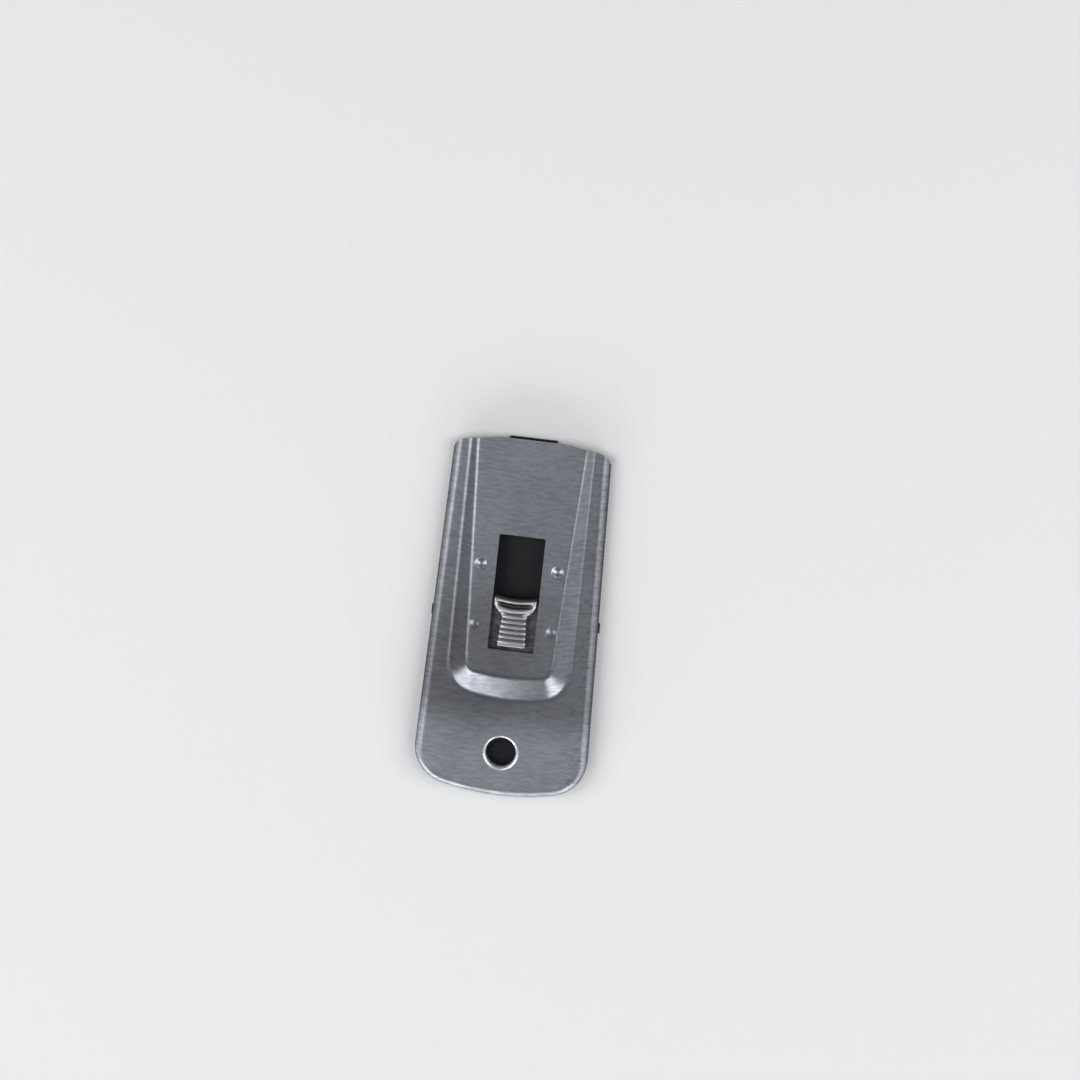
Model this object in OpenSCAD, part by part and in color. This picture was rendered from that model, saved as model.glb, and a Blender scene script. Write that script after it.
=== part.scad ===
// Retractable razor blade scraper, stamped from sheet steel.
// X runs across it, Y along it with the blade end at +Y, and it rests on Z = 0.

/* [Shell] */
// Overall length, from the front edge to the rear edge
shell_len = 95; // [90:1:105]
// Width at the front edge
front_w = 40.2; // [40:0.1:44]
// Width across the rear corners
rear_w = 45; // [43:0.5:50]
// Height of the flange at the front edge
front_h = 3.2; // [3.1:0.1:4.5]
// Height of the flange at the rear edge
rear_h = 5.6; // [4.8:0.1:7]
// Thickness of the shell's sheet
sheet_t = 0.7; // [0.5:0.05:0.8]
// Radius of the rolled edge along the sides and the rear
edge_r = 2.1; // [1.4:0.1:2.3]
// Radius of the curved front edge
front_arc_r = 66; // [58:1:100]
// Width of the shallow notch in the middle of the front edge
mouth_notch_w = 12.4; // [8:0.1:16]
// Depth of that notch
mouth_notch_d = 0.3; // [0.1:0.05:0.6]
// Radius of the front corners in plan
front_corner_r = 1.8; // [0.8:0.1:2.4]
// Radius of the curved rear edge
rear_arc_r = 68; // [60:1:120]
// Radius of the rear corners in plan
rear_corner_r = 10; // [7:0.5:13]

/* [Raised wedge] */
// Width of the wedge along its foot
wedge_w = 31.6; // [31:0.1:33]
// Distance from the front edge to the rear end of the wedge's top
wedge_len = 62.1; // [61:0.1:65]
// Height of the wedge above the flange at the front edge
wedge_front_h = 1.35; // [0.8:0.05:1.8]
// Height of the wedge above the flange at its rear end
wedge_rear_h = 4; // [3.6:0.1:5]
// Slope of the wedge's sides, in degrees
wedge_slope = 40; // [38:1:48]
// Bend radius along the wedge's top edges
wedge_bend_r = 0.9; // [0.85:0.05:1.2]
// Radius of the curved rear edge of the wedge's top
wedge_end_r = 56; // [40:1:90]
// Length of the crescent slope behind the wedge
crescent_len = 6.8; // [5:0.1:8]
// Radius of the crescent's curved foot
crescent_r = 45; // [38:1:70]
// Radius of the crescent's foot corners
crescent_corner_r = 4; // [3:0.1:6]

/* [Window, dimples and hanging hole] */
// Width of the window
window_w = 11.9; // [11.5:0.1:12.5]
// Distance from the front edge to the window
window_setback = 25.1; // [24.6:0.1:26]
// Radius of the window's corners
window_corner_r = 0.5; // [0.3:0.1:1]
// Distance from the front edge to the front dimples
dimple_setback = 33.4; // [32.8:0.1:33.8]
// Distance across between the dimples of a pair
dimple_span = 19.8; // [19:0.1:20.6]
// Radius of a front dimple
dimple_r = 1.5; // [1:0.1:1.8]
// Height of a front dimple
dimple_h = 0.5; // [0.3:0.05:0.6]
// Radius of a rear dimple
rear_dimple_r = 1.2; // [0.8:0.1:1.5]
// Height of a rear dimple
rear_dimple_h = 0.25; // [0.15:0.05:0.4]
// Radius of the hanging hole
hole_r = 3.9; // [3:0.05:5]
// Distance from the rear edge to the hanging hole
hole_inset = 11.9; // [9:0.1:14]
// Radius of the hole's turned-in lip
hole_lip_r = 0.8; // [0.75:0.05:1.2]
// Length of the straight wall below the lip
hole_wall_len = 2; // [1:0.1:2.5]

/* [Bottom plate] */
// Thickness of the bottom plate
plate_t = 0.7; // [0.5:0.05:0.8]
// Distance of the plate's front edge behind the shell's
plate_setback = 1; // [0.8:0.1:1.4]
// Width of the tongue at the plate's front edge
tongue_w = 12.2; // [8:0.1:16]
// Distance of the tongue's end behind the shell's front edge
tongue_setback = 0.4; // [0.2:0.1:1]
// Length of a side lug
lug_len = 2.6; // [1.5:0.1:4]
// How far a side lug stands out of the shell's wall
lug_proud = 0.35; // [0.1:0.05:0.6]
// Distance from the front edge to the lugs
lug_setback = 48.2; // [40:0.1:60]

/* [Razor blade] */
// Width of the blade
blade_w = 38.1; // [36:0.1:38.3]
// Depth of the blade, from its edge to its back
blade_d = 19; // [17:0.1:20]
// Thickness of the blade
blade_t = 0.23; // [0.15:0.01:0.35]
// Depth of the ground bevel at the cutting edge
bevel_d = 1.2; // [0.6:0.1:2]
// Radius of the notch at each end
notch_r = 1.6; // [1:0.1:2]
// Depth of the folded spine
spine_d = 6; // [4:0.1:7]
// Thickness of the folded spine
spine_t = 1; // [0.8:0.05:1.05]
// Distance of the drawn-in cutting edge behind the shell's front edge
blade_setback = 4; // [3.5:0.1:4.6]
// How far the blade slides out
slide_travel = 15.8; // [14:0.1:16]

/* [Blade carrier] */
// Width of the carrier over its turned-up rails
carrier_w = 28.4; // [27.5:0.1:28.6]
// Thickness of the carrier's sheet
carrier_t = 0.6; // [0.4:0.05:0.65]
// Height of the rails above the carrier's sheet
rail_h = 0.45; // [0.2:0.05:0.5]
// Length of the crossbar behind the opening
crossbar_len = 9.5; // [8:0.1:10]
// Width of each pip in front of the spine
pip_w = 2; // [1:0.1:4]
// Distance across between the pips
pip_span = 18; // [8:0.1:22]

/* [Thumb slide] */
// Length of the thumb slide
thumb_len = 13; // [12.5:0.1:13.2]
// Width of its front part
thumb_w = 10.9; // [10:0.1:11.2]
// Length of its front part, with the shoulders
thumb_front_len = 5; // [4.4:0.1:6]
// Length of the slanted shoulders
shoulder_len = 2.8; // [1.6:0.1:3]
// Distance from its front edge to the crest behind the rim
crest_setback = 3.2; // [2.8:0.1:3.8]
// Width of the ribbed tongue at its front
ribbed_w = 6.65; // [5:0.05:8]
// Width of the ribbed tongue at its rear
ribbed_rear_w = 7.5; // [6:0.05:8.5]
// Height of its pad above the wedge
thumb_proud = 0.3; // [0.1:0.05:0.6]
// Thickness of its sheet
thumb_t = 0.7; // [0.5:0.05:0.8]
// Radius of the concave front edge
thumb_front_r = 21; // [15:0.5:40]
// Radius of the rim along the front edge
rim_r = 0.6; // [0.4:0.05:0.7]
// Radius of the cross ribs
rib_r = 0.4; // [0.25:0.05:0.5]
// Number of ribs on the tongue
rib_count = 6; // [3:1:7]
// Width across the wings under the wedge
wing_w = 24; // [22:0.5:24.5]
// Length of the wings
wing_len = 11; // [9:0.1:11.5]
// Length by which the wings carry on behind the pad
wing_tail_len = 3.4; // [2:0.1:4]
// Height of the detent bumps on the wings
bump_h = 0.25; // [0.1:0.05:0.3]
// Length of the tabs that reach down into the carrier
tab_len = 7.6; // [6:0.1:8]

/* [Leaf spring and rivets] */
// Width of the leaf spring
spring_w = 8; // [6:0.1:10]
// Thickness of the leaf spring
spring_t = 0.4; // [0.2:0.05:0.45]
// Length of its flat tip under the wings
spring_tip_len = 3; // [2:0.1:4]
// Radius of a rivet's shank
rivet_r = 0.8; // [0.5:0.05:1]
// Radius of a rivet's head
rivet_head_r = 1.5; // [1.2:0.05:1.8]
// Height of a rivet's head
rivet_head_h = 0.5; // [0.3:0.05:0.6]
// Distance across between the rivets
rivet_span = 4.6; // [3.8:0.1:5]

/* [Clearances] */
// Gap between the bottom plate and the shell
plate_gap = 0.15; // [0.05:0.05:0.25]
// Gap between stacked pieces that move together
seat_gap = 0.1; // [0.05:0.01:0.15]
// Gap between the carrier and the flange's underside, measured down to the spine
spine_drop = 0.55; // [0.5:0.05:0.6]
// Gap between the window and the thumb slide at either end of its travel
window_gap = 0.2; // [0.15:0.05:0.3]
// Gap between the thumb slide and the rear of the window at rest
thumb_gap = 1; // [0.6:0.1:1.2]
// Gap between the wings and the wedge, at its least
wing_gap = 0.3; // [0.2:0.05:0.4]
// Gap round a rivet's shank and the blade in its spine
fit_gap = 0.03; // [0.01:0.01:0.06]

/* [Hidden] */
$fn = 96;
hull_fn = 28;
over = 1;
tall = 40;

front_y = shell_len / 2;
// The curved front edge reaches furthest beside its notch
front_arc_y = front_y - sqrt(pow(front_arc_r, 2) - pow(mouth_notch_w / 2, 2));
hole_at = hole_inset - shell_len;
flange_slope = atan((rear_h - front_h) / shell_len);
wall_lean = rear_h * sin(flange_slope);
// Lengths along the flange run from the front edge, so those behind it are negative
rear_at = -(shell_len - wall_lean) / cos(flange_slope);
// The sides and the wedge run past the curved front edge and are cut by it
runout = 8;

corner_x = rear_w / 2 - rear_corner_r;
rear_arc_at = rear_at + rear_arc_r;
corner_at = rear_arc_at - sqrt(pow(rear_arc_r - rear_corner_r, 2) - pow(corner_x, 2));
rear_half_angle = asin(corner_x / (rear_arc_r - rear_corner_r));
side_angle = asin(rear_corner_r / norm([front_w / 2 - corner_x, corner_at]))
           - atan2(front_w / 2 - corner_x, -corner_at);
side_len = (runout - corner_at) / cos(side_angle);

wedge_rise = (wedge_rear_h - wedge_front_h) / wedge_len;
wedge_pitch = atan(wedge_rise);
crescent_slope = atan(wedge_rear_h / crescent_len);
crescent_x = wedge_w / 2 - crescent_corner_r;
crescent_arc_at = -wedge_len - crescent_len + crescent_r;
crescent_corner_at = crescent_arc_at
                   - sqrt(pow(crescent_r - crescent_corner_r, 2) - pow(crescent_x, 2));
crescent_half_angle = asin(crescent_x / (crescent_r - crescent_corner_r));
foot_plate_t = 0.3;
tray_rear_steps = 3;
tray_corner_steps = 6;
plan_steps = 16;

thumb_front_at = -window_setback - window_gap - slide_travel;
thumb_rear_at = thumb_front_at - thumb_len;
window_rear_at = thumb_rear_at - thumb_gap;
thumb_mid_at = (thumb_front_at + thumb_rear_at) / 2;
pad_top = wedge_top(thumb_mid_at) + thumb_proud;

spine_top = -spine_drop;
blade_mid = spine_top - spine_t / 2;
spine_fold = (spine_t - blade_t) / 2;
blade_back_at = -blade_setback - blade_d;
spine_back_at = blade_back_at - spine_fold;
spine_front_at = spine_back_at + spine_d;

carrier_low = spine_top + seat_gap;
carrier_top = carrier_low + carrier_t;
shoulder_at = spine_back_at - seat_gap - carrier_t;
carrier_front_at = spine_front_at + seat_gap + carrier_t;
opening_front_at = shoulder_at;
opening_rear_at = window_rear_at;
carrier_rear_at = opening_rear_at - crossbar_len;
opening_w = window_w + 2 * window_corner_r;

wing_top = wedge_top(thumb_mid_at + wing_len / 2 + slide_travel) - sheet_t - wing_gap;
wing_low = wing_top - carrier_t;
tab_x = dimple_span / 2;
bump_at = -dimple_setback - slide_travel;

rivet_at = carrier_rear_at + crossbar_len / 2;
spring_ramp_from = opening_rear_at;
spring_ramp_to = thumb_mid_at - spring_tip_len;

steel = [0.66, 0.67, 0.7];
spring_steel = [0.42, 0.43, 0.46];
black_steel = [0.12, 0.12, 0.13];
blade_steel = [0.78, 0.79, 0.82];

// Height of the wedge above the flange, and of its top above the flange's underside
function wedge_h(at) = wedge_front_h - wedge_rise * at;
function wedge_top(at) = sheet_t + wedge_h(at);

// The frame of the sloping flange: Y = 0 at the front edge, Z = 0 on its underside
module on_flange() {
    translate([0, front_y, front_h - sheet_t]) rotate([-flange_slope, 0, 0]) children();
}

module both_sides() {
    children();
    mirror([1, 0, 0]) children();
}

// The outline drawn in by inset, from the middle of the rear round one side to the front
function outline(inset, rear_steps, corner_steps) = let (
    rear_r = rear_arc_r - inset,
    corner_r = rear_corner_r - inset,
    turn = 90 - rear_half_angle + side_angle,
    normal = [cos(side_angle), sin(side_angle)],
    along = [-sin(side_angle), cos(side_angle)],
    corner = [corner_x, corner_at]
) concat(
    [for (i = [0:rear_steps - 1]) let (a = rear_half_angle * i / rear_steps)
        [rear_r * sin(a), rear_arc_at - rear_r * cos(a)]],
    [for (i = [0:corner_steps]) let (a = side_angle - turn * (1 - i / corner_steps))
        corner + corner_r * [cos(a), sin(a)]],
    [corner + corner_r * normal + side_len * along]
);

// Outline of the shell in plan, drawn in from its outside by inset
module plan(inset) {
    right = outline(inset, plan_steps, plan_steps);
    polygon(concat(right, [for (i = [len(right) - 1:-1:1]) [-right[i].x, right[i].y]]));
}

// The flange with its rolled edge, solid, drawn in by inset
module tray(inset) {
    r = edge_r - inset;
    depth = rear_h + over;
    hull() both_sides() for (at = outline(edge_r, tray_rear_steps, tray_corner_steps))
        translate([at.x, at.y, sheet_t - edge_r]) {
            sphere(r = r, $fn = hull_fn);
            translate([0, 0, -depth]) cylinder(r = r, h = over, $fn = hull_fn);
        }
}

// Foot of the wedge in plan
module wedge_foot(inset) {
    half_w = wedge_w / 2 - inset;
    both_sides() {
        translate([0, crescent_corner_at]) square([half_w, runout - crescent_corner_at]);
        translate([crescent_x, crescent_corner_at]) circle(r = crescent_corner_r - inset);
    }
    translate([0, crescent_arc_at]) polygon(concat([[0, 0]], [
        for (step = [-1:0.25:1]) let (a = step * crescent_half_angle)
            (crescent_r - inset) * [sin(a), -cos(a)]]));
}

// The raised wedge with its crescent end, solid, drawn in by inset
module wedge(inset) {
    foot_inset = inset * tan(wedge_slope / 2);
    hull() {
        translate([0, 0, sheet_t - inset - foot_plate_t]) linear_extrude(foot_plate_t)
            wedge_foot(foot_inset);
        for (side = [-1, 1]) wedge_knuckle(side, runout, inset);
        for (side = [-1:0.5:1]) wedge_knuckle(side, wedge_end_at(side), inset);
    }
}

// Where the rear edge of the wedge's top lies, from -1 at its left end to 1 at its right
function wedge_end_at(side) =
    -wedge_len + wedge_bend_r * tan(crescent_slope / 2)
    + pow(side * knuckle_x(-wedge_len), 2) / 2 / wedge_end_r;

// How far out the centre of the bend along the wedge's top edge lies
function knuckle_x(at) =
    wedge_w / 2 - wedge_h(at) / tan(wedge_slope) - wedge_bend_r * tan(wedge_slope / 2);

module wedge_knuckle(side, at, inset) {
    translate([side * knuckle_x(at), at, wedge_top(at) - wedge_bend_r])
        sphere(r = wedge_bend_r - inset, $fn = hull_fn);
}

// The two pairs of pressed dimples, where the slide clicks in
module dimples(inset) {
    both_sides() {
        dimple(-dimple_setback, dimple_r, dimple_h, inset);
        dimple(bump_at, rear_dimple_r, rear_dimple_h, inset);
    }
}

module dimple(at, r, h, inset) {
    ball_r = (r * r + h * h) / 2 / h;
    translate([dimple_span / 2, at, wedge_top(at) + h - ball_r]) sphere(r = ball_r - inset);
}

module shell_form(inset) {
    tray(inset);
    wedge(inset);
    dimples(inset);
}

module window_cut() {
    length = -window_setback - window_rear_at;
    r = window_corner_r;
    translate([0, window_rear_at, over]) linear_extrude(tall) {
        translate([-window_w / 2, r]) square([window_w, length - 2 * r]);
        translate([-window_w / 2 + r, 0]) square([window_w - 2 * r, length]);
        for (x = [-1, 1], y = [r, length - r])
            translate([x * (window_w / 2 - r), y]) circle(r = r);
    }
}

// The sheet drawn down round the hanging hole
module hole_collar() {
    translate([0, hole_at, sheet_t - hole_lip_r - hole_wall_len])
        cylinder(r = hole_r + sheet_t, h = hole_wall_len + hole_lip_r - sheet_t / 2);
}

module hole_cut() {
    translate([0, hole_at, 0]) {
        translate([0, 0, -tall / 2]) cylinder(r = hole_r, h = tall);
        rotate_extrude() difference() {
            translate([hole_r - hole_lip_r / 2, sheet_t - hole_lip_r])
                square([hole_lip_r * 1.5, hole_lip_r + over]);
            translate([hole_r + hole_lip_r, sheet_t - hole_lip_r]) circle(r = hole_lip_r);
        }
    }
}

// The front corners, rounded in plan
module front_corner_cut() {
    x = front_w / 2 - front_corner_r;
    y = front_arc_y + sqrt(pow(front_arc_r - front_corner_r, 2) - x * x);
    side = [cos(side_angle), sin(side_angle)];
    front = [x, y - front_arc_y] / norm([x, y - front_arc_y]);
    translate([x + (front_y - y) * tan(side_angle), y, -over]) linear_extrude(tall) difference() {
        polygon([[0, 0], front_corner_r * side, 2 * front_corner_r * (side + front),
                 front_corner_r * front]);
        circle(r = front_corner_r);
    }
}

module top_shell() {
    color(steel) difference() {
        intersection() {
            on_flange() {
                difference() {
                    shell_form(0);
                    shell_form(sheet_t);
                    window_cut();
                }
                hole_collar();
            }
            translate([0, front_arc_y, 0]) cylinder(r = front_arc_r, h = tall, $fn = 4 * $fn);
        }
        on_flange() hole_cut();
        translate([-mouth_notch_w / 2, front_y - mouth_notch_d, -over])
            cube([mouth_notch_w, runout, tall]);
        both_sides() {
            front_corner_cut();
            translate([corner_x, front_y - lug_setback - lug_len / 2 - plate_gap, -over])
                cube([rear_w, lug_len + 2 * plate_gap, over + plate_t + plate_gap]);
        }
    }
}

module bottom_plate() {
    lug_x = front_w / 2 + lug_setback * tan(side_angle) + lug_proud;
    color(black_steel) linear_extrude(plate_t) {
        intersection() {
            translate([0, front_y]) plan(sheet_t + plate_gap);
            translate([0, front_arc_y]) circle(r = front_arc_r - plate_setback, $fn = 4 * $fn);
        }
        translate([-tongue_w / 2, front_y - wedge_len])
            square([tongue_w, wedge_len - tongue_setback]);
        translate([-lug_x, front_y - lug_setback - lug_len / 2]) square([2 * lug_x, lug_len]);
    }
}

// A plate on the flange's frame, from the rear to the front and from low to top
module strip(x0, x1, rear, front, low, top) {
    translate([x0, rear, low]) cube([x1 - x0, front - rear, top - low]);
}

module blade_carrier() {
    half_w = carrier_w / 2;
    color(spring_steel) on_flange() difference() {
        union() {
            strip(-half_w, half_w, carrier_rear_at, carrier_front_at, carrier_low, carrier_top);
            both_sides() {
                strip(half_w - carrier_t, half_w, carrier_rear_at, opening_front_at,
                      carrier_low, carrier_top + rail_h);
                strip((pip_span - pip_w) / 2, (pip_span + pip_w) / 2,
                      carrier_front_at - carrier_t, carrier_front_at,
                      blade_mid + blade_t / 2 + seat_gap, carrier_top);
            }
            strip(-half_w, half_w, shoulder_at, shoulder_at + carrier_t,
                  blade_mid - blade_t / 2, carrier_top);
        }
        strip(-opening_w / 2, opening_w / 2, opening_rear_at, opening_front_at, -tall, tall);
        both_sides() {
            strip(tab_x - carrier_t / 2 - seat_gap, tab_x + carrier_t / 2 + seat_gap,
                  thumb_mid_at - tab_len / 2 - seat_gap, thumb_mid_at + tab_len / 2 + seat_gap,
                  -tall, tall);
            translate([rivet_span / 2, rivet_at, -tall / 2]) cylinder(r = rivet_r + fit_gap, h = tall);
        }
    }
}

module leaf_spring() {
    tip_top = wing_low - seat_gap;
    color(spring_steel) on_flange() difference() {
        translate([-spring_w / 2, 0, 0]) rotate([90, 0, 90]) linear_extrude(spring_w) polygon([
            [carrier_rear_at, carrier_top],
            [spring_ramp_from, carrier_top],
            [spring_ramp_to, tip_top - spring_t],
            [spring_ramp_to + spring_tip_len, tip_top - spring_t],
            [spring_ramp_to + spring_tip_len, tip_top],
            [spring_ramp_to, tip_top],
            [spring_ramp_from, carrier_top + spring_t],
            [carrier_rear_at, carrier_top + spring_t]]);
        both_sides() translate([rivet_span / 2, rivet_at, -tall / 2])
            cylinder(r = rivet_r + fit_gap, h = tall);
    }
}

module spring_rivets() {
    stack = carrier_t + spring_t;
    color(steel) on_flange() both_sides() translate([rivet_span / 2, rivet_at, carrier_low]) {
        translate([0, 0, -rivet_head_h]) cylinder(r = rivet_head_r, h = rivet_head_h);
        cylinder(r = rivet_r, h = stack);
        translate([0, 0, stack]) cylinder(r = rivet_head_r, h = rivet_head_h);
    }
}

// Outline of the thumb slide's pad, with its concave front edge and shoulders
module pad_plan() {
    half_w = thumb_w / 2;
    half_tongue = ribbed_w / 2;
    half_rear = ribbed_rear_w / 2;
    difference() {
        polygon([
            [-half_w, thumb_front_at],
            [-half_w, thumb_front_at - thumb_front_len + shoulder_len],
            [-half_tongue, thumb_front_at - thumb_front_len],
            [-half_rear, thumb_rear_at],
            [half_rear, thumb_rear_at],
            [half_tongue, thumb_front_at - thumb_front_len],
            [half_w, thumb_front_at - thumb_front_len + shoulder_len],
            [half_w, thumb_front_at]]);
        translate([0, thumb_front_at + sqrt(pow(thumb_front_r, 2) - pow(half_w, 2))])
            circle(r = thumb_front_r);
    }
}

// The pad, tilted with the wedge, with its rim and cross ribs
module pad() {
    rim_in = 1.2 * rim_r;
    rim_angle = asin((thumb_w / 2 - seat_gap) / (thumb_front_r + rim_in + rim_r));
    translate([0, 0, -thumb_t]) linear_extrude(thumb_t) pad_plan();
    translate([0, thumb_front_at + sqrt(pow(thumb_front_r, 2) - pow(thumb_w / 2, 2)), 0])
        rotate(-90 - rim_angle) rotate_extrude(angle = 2 * rim_angle)
            translate([thumb_front_r + rim_in, 0]) circle(r = rim_r);
    shoulder_part = (thumb_front_len - crest_setback) / shoulder_len;
    rib(ribbed_w + (thumb_w - ribbed_w) * min(1, shoulder_part), thumb_front_at - crest_setback, rim_r);
    rib_room = thumb_len - thumb_front_len;
    for (i = [0:rib_count - 1]) let (part = (i + 0.5) / rib_count)
        rib(ribbed_w + (ribbed_rear_w - ribbed_w) * part,
            thumb_front_at - thumb_front_len - part * rib_room, rib_r);
}

// A round-backed rib across the pad, kept just inside its edges
module rib(width, at, r) {
    translate([seat_gap - width / 2, at, 0]) rotate([0, 90, 0]) cylinder(r = r, h = width - 2 * seat_gap);
}

module thumb_slide() {
    half_w = thumb_w / 2;
    half_wing = wing_w / 2;
    wing_rear = thumb_mid_at - wing_len / 2 - wing_tail_len;
    wing_front = thumb_mid_at + wing_len / 2;
    pad_low = pad_top - thumb_t / 2;
    color(steel) on_flange() {
        translate([0, thumb_mid_at, pad_top]) rotate([-wedge_pitch, 0, 0])
            translate([0, -thumb_mid_at, 0]) pad();
        strip(-half_wing, half_wing, wing_rear, wing_front, wing_low, wing_top);
        strip(-ribbed_w / 2, ribbed_w / 2, thumb_rear_at + seat_gap, thumb_rear_at + thumb_t,
              wing_low, pad_low);
        both_sides() {
            strip(half_w - thumb_t, half_w, thumb_front_at - thumb_front_len + shoulder_len,
                  wing_front, wing_low, pad_low);
            strip(tab_x - carrier_t / 2, tab_x + carrier_t / 2,
                  thumb_mid_at - tab_len / 2, thumb_mid_at + tab_len / 2, carrier_low, wing_top);
            translate([dimple_span / 2, bump_at, wing_top]) bump();
        }
    }
}

// A detent bump on a wing
module bump() {
    r = rear_dimple_r;
    ball_r = (r * r + bump_h * bump_h) / 2 / bump_h;
    intersection() {
        translate([0, 0, bump_h - ball_r]) sphere(r = ball_r);
        translate([0, 0, -carrier_t / 2]) cylinder(r = 2 * r, h = tall);
    }
}

module razor_blade() {
    half_t = blade_t / 2;
    edge_at = -blade_setback;
    color(blade_steel) on_flange() translate([0, 0, blade_mid]) difference() {
        translate([-blade_w / 2, 0, 0]) rotate([90, 0, 90]) linear_extrude(blade_w) polygon([
            [blade_back_at, -half_t],
            [edge_at - bevel_d, -half_t],
            [edge_at, 0],
            [edge_at - bevel_d, half_t],
            [blade_back_at, half_t]]);
        both_sides() translate([blade_w / 2, spine_front_at + notch_r, -over])
            cylinder(r = notch_r, h = 2 * over);
    }
}

module blade_spine() {
    color(steel) on_flange() translate([-blade_w / 2, 0, blade_mid]) rotate([90, 0, 90])
        linear_extrude(blade_w) difference() {
            union() {
                translate([spine_back_at + spine_t / 2, 0]) circle(r = spine_t / 2);
                translate([spine_back_at + spine_t / 2, -spine_t / 2])
                    square([spine_d - spine_t / 2, spine_t]);
            }
            translate([blade_back_at - fit_gap, -blade_t / 2 - fit_gap])
                square([spine_d, blade_t + 2 * fit_gap]);
        }
}

top_shell();
bottom_plate();
blade_carrier();
leaf_spring();
spring_rivets();
thumb_slide();
razor_blade();
blade_spine();
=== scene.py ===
# A retractable razor blade scraper of stamped steel, lying on a pale table with its blade drawn in.

import math

import bmesh
import bpy
import numpy as np
from mathutils import Matrix, Vector
from mathutils.geometry import delaunay_2d_cdt


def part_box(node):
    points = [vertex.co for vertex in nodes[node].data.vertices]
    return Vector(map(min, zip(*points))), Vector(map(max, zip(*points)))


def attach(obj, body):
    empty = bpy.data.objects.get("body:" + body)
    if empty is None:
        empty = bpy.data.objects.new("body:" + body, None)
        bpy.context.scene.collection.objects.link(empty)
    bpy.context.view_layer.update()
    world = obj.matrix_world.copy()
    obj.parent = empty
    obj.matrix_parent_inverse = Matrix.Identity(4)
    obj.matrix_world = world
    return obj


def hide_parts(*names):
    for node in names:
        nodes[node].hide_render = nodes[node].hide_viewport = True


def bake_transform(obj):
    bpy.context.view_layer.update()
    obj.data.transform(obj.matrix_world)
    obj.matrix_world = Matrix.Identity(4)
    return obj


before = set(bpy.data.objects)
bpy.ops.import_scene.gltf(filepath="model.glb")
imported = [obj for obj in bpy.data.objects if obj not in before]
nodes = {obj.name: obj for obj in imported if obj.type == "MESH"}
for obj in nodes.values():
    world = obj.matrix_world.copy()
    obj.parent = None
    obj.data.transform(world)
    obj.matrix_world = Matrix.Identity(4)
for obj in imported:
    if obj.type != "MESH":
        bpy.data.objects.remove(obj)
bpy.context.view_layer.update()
scene = bpy.context.scene
scene.view_settings.view_transform = "Standard"

# The view
# A long lens looks almost straight down from over the blade end, with the scraper leaning to the right.
# The scraper sits left of the middle of the picture and below it.
to_lens = Vector((0.06, 0.232, 0.97)).normalized()
lean = math.radians(6.03)
lens_distance = 1.2
scraper_middle, aim_right, aim_up = Vector((-0.0007, 0.0011, 0.006)), 0.00726, 0.01966
length_in_view = (Vector((0, 1, 0)) - to_lens.y * to_lens).normalized()
width_in_view = length_in_view.cross(to_lens)
view_right = math.cos(lean) * width_in_view + math.sin(lean) * length_in_view
view_up = math.cos(lean) * length_in_view - math.sin(lean) * width_in_view
looks_at = scraper_middle + aim_right * view_right + aim_up * view_up


def put(name, data):
    """A thing in the scene, from its lens, lamp or mesh."""
    thing = bpy.data.objects.new(name, data)
    scene.collection.objects.link(thing)
    return thing


lens = bpy.data.cameras.new("view")
lens.sensor_width = 36
lens.lens = 155.8
view = put("view", lens)
view.matrix_world = Matrix.Translation(looks_at + lens_distance * to_lens) @ Matrix(
    (view_right, view_up, to_lens)).transposed().to_4x4()
scene.camera = view

# The table and the light
# A pale matt table top under soft studio light: a large softbox on either side, two low ones behind
# the hanging hole, a faint fill at the right and a dim ceiling.
table_half, table_top = 2, -0.0002
table_mesh = bpy.data.meshes.new("table")
table_mesh.from_pydata([(x * table_half, y * table_half, table_top) for x, y in ((-1, -1), (1, -1), (1, 1), (-1, 1))],
                       [], [(0, 1, 2, 3)])
table = put("table", table_mesh)
table_paint = bpy.data.materials.new("pale_table")
table_paint.use_nodes = True
table_look = table_paint.node_tree.nodes["Principled BSDF"]
table_look.inputs["Base Color"].default_value = (0.86, 0.86, 0.87, 1)
table_look.inputs["Roughness"].default_value = 0.75
table_look.inputs["Specular IOR Level"].default_value = 0.2
table_mesh.materials.append(table_paint)

for name, place, wide, tall, watts in (
        ("left_softbox", (-0.6, 0.12, 0.78), 0.45, 0.8, 4.4),
        ("right_softbox", (0.66, 0.2, 0.72), 0.4, 0.8, 4.0),
        ("rear_left_softbox", (-0.44, -0.864, 0.25), 0.8, 0.35, 4.6),
        ("rear_right_softbox", (0.54, -0.806, 0.25), 0.56, 0.35, 2.9),
        ("right_fill", (0.94, -0.23, 0.22), 0.5, 0.4, 0.3)):
    lamp = bpy.data.lights.new(name, "AREA")
    lamp.shape = "RECTANGLE"
    lamp.size = wide
    lamp.size_y = tall
    lamp.energy = watts
    softbox = put(name, lamp)
    softbox.location = place
    softbox.rotation_euler = (-Vector(place)).to_track_quat("-Z", "Y").to_euler()


def ranged(tree, value, low, high, to_low, to_high, smooth=False):
    """Takes a value from one range into another."""
    node = tree.nodes.new("ShaderNodeMapRange")
    if smooth:
        node.interpolation_type = "SMOOTHSTEP"
    for end, number in (("From Min", low), ("From Max", high), ("To Min", to_low), ("To Max", to_high)):
        node.inputs[end].default_value = number
    tree.links.new(value, node.inputs["Value"])
    return node.outputs["Result"]


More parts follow.
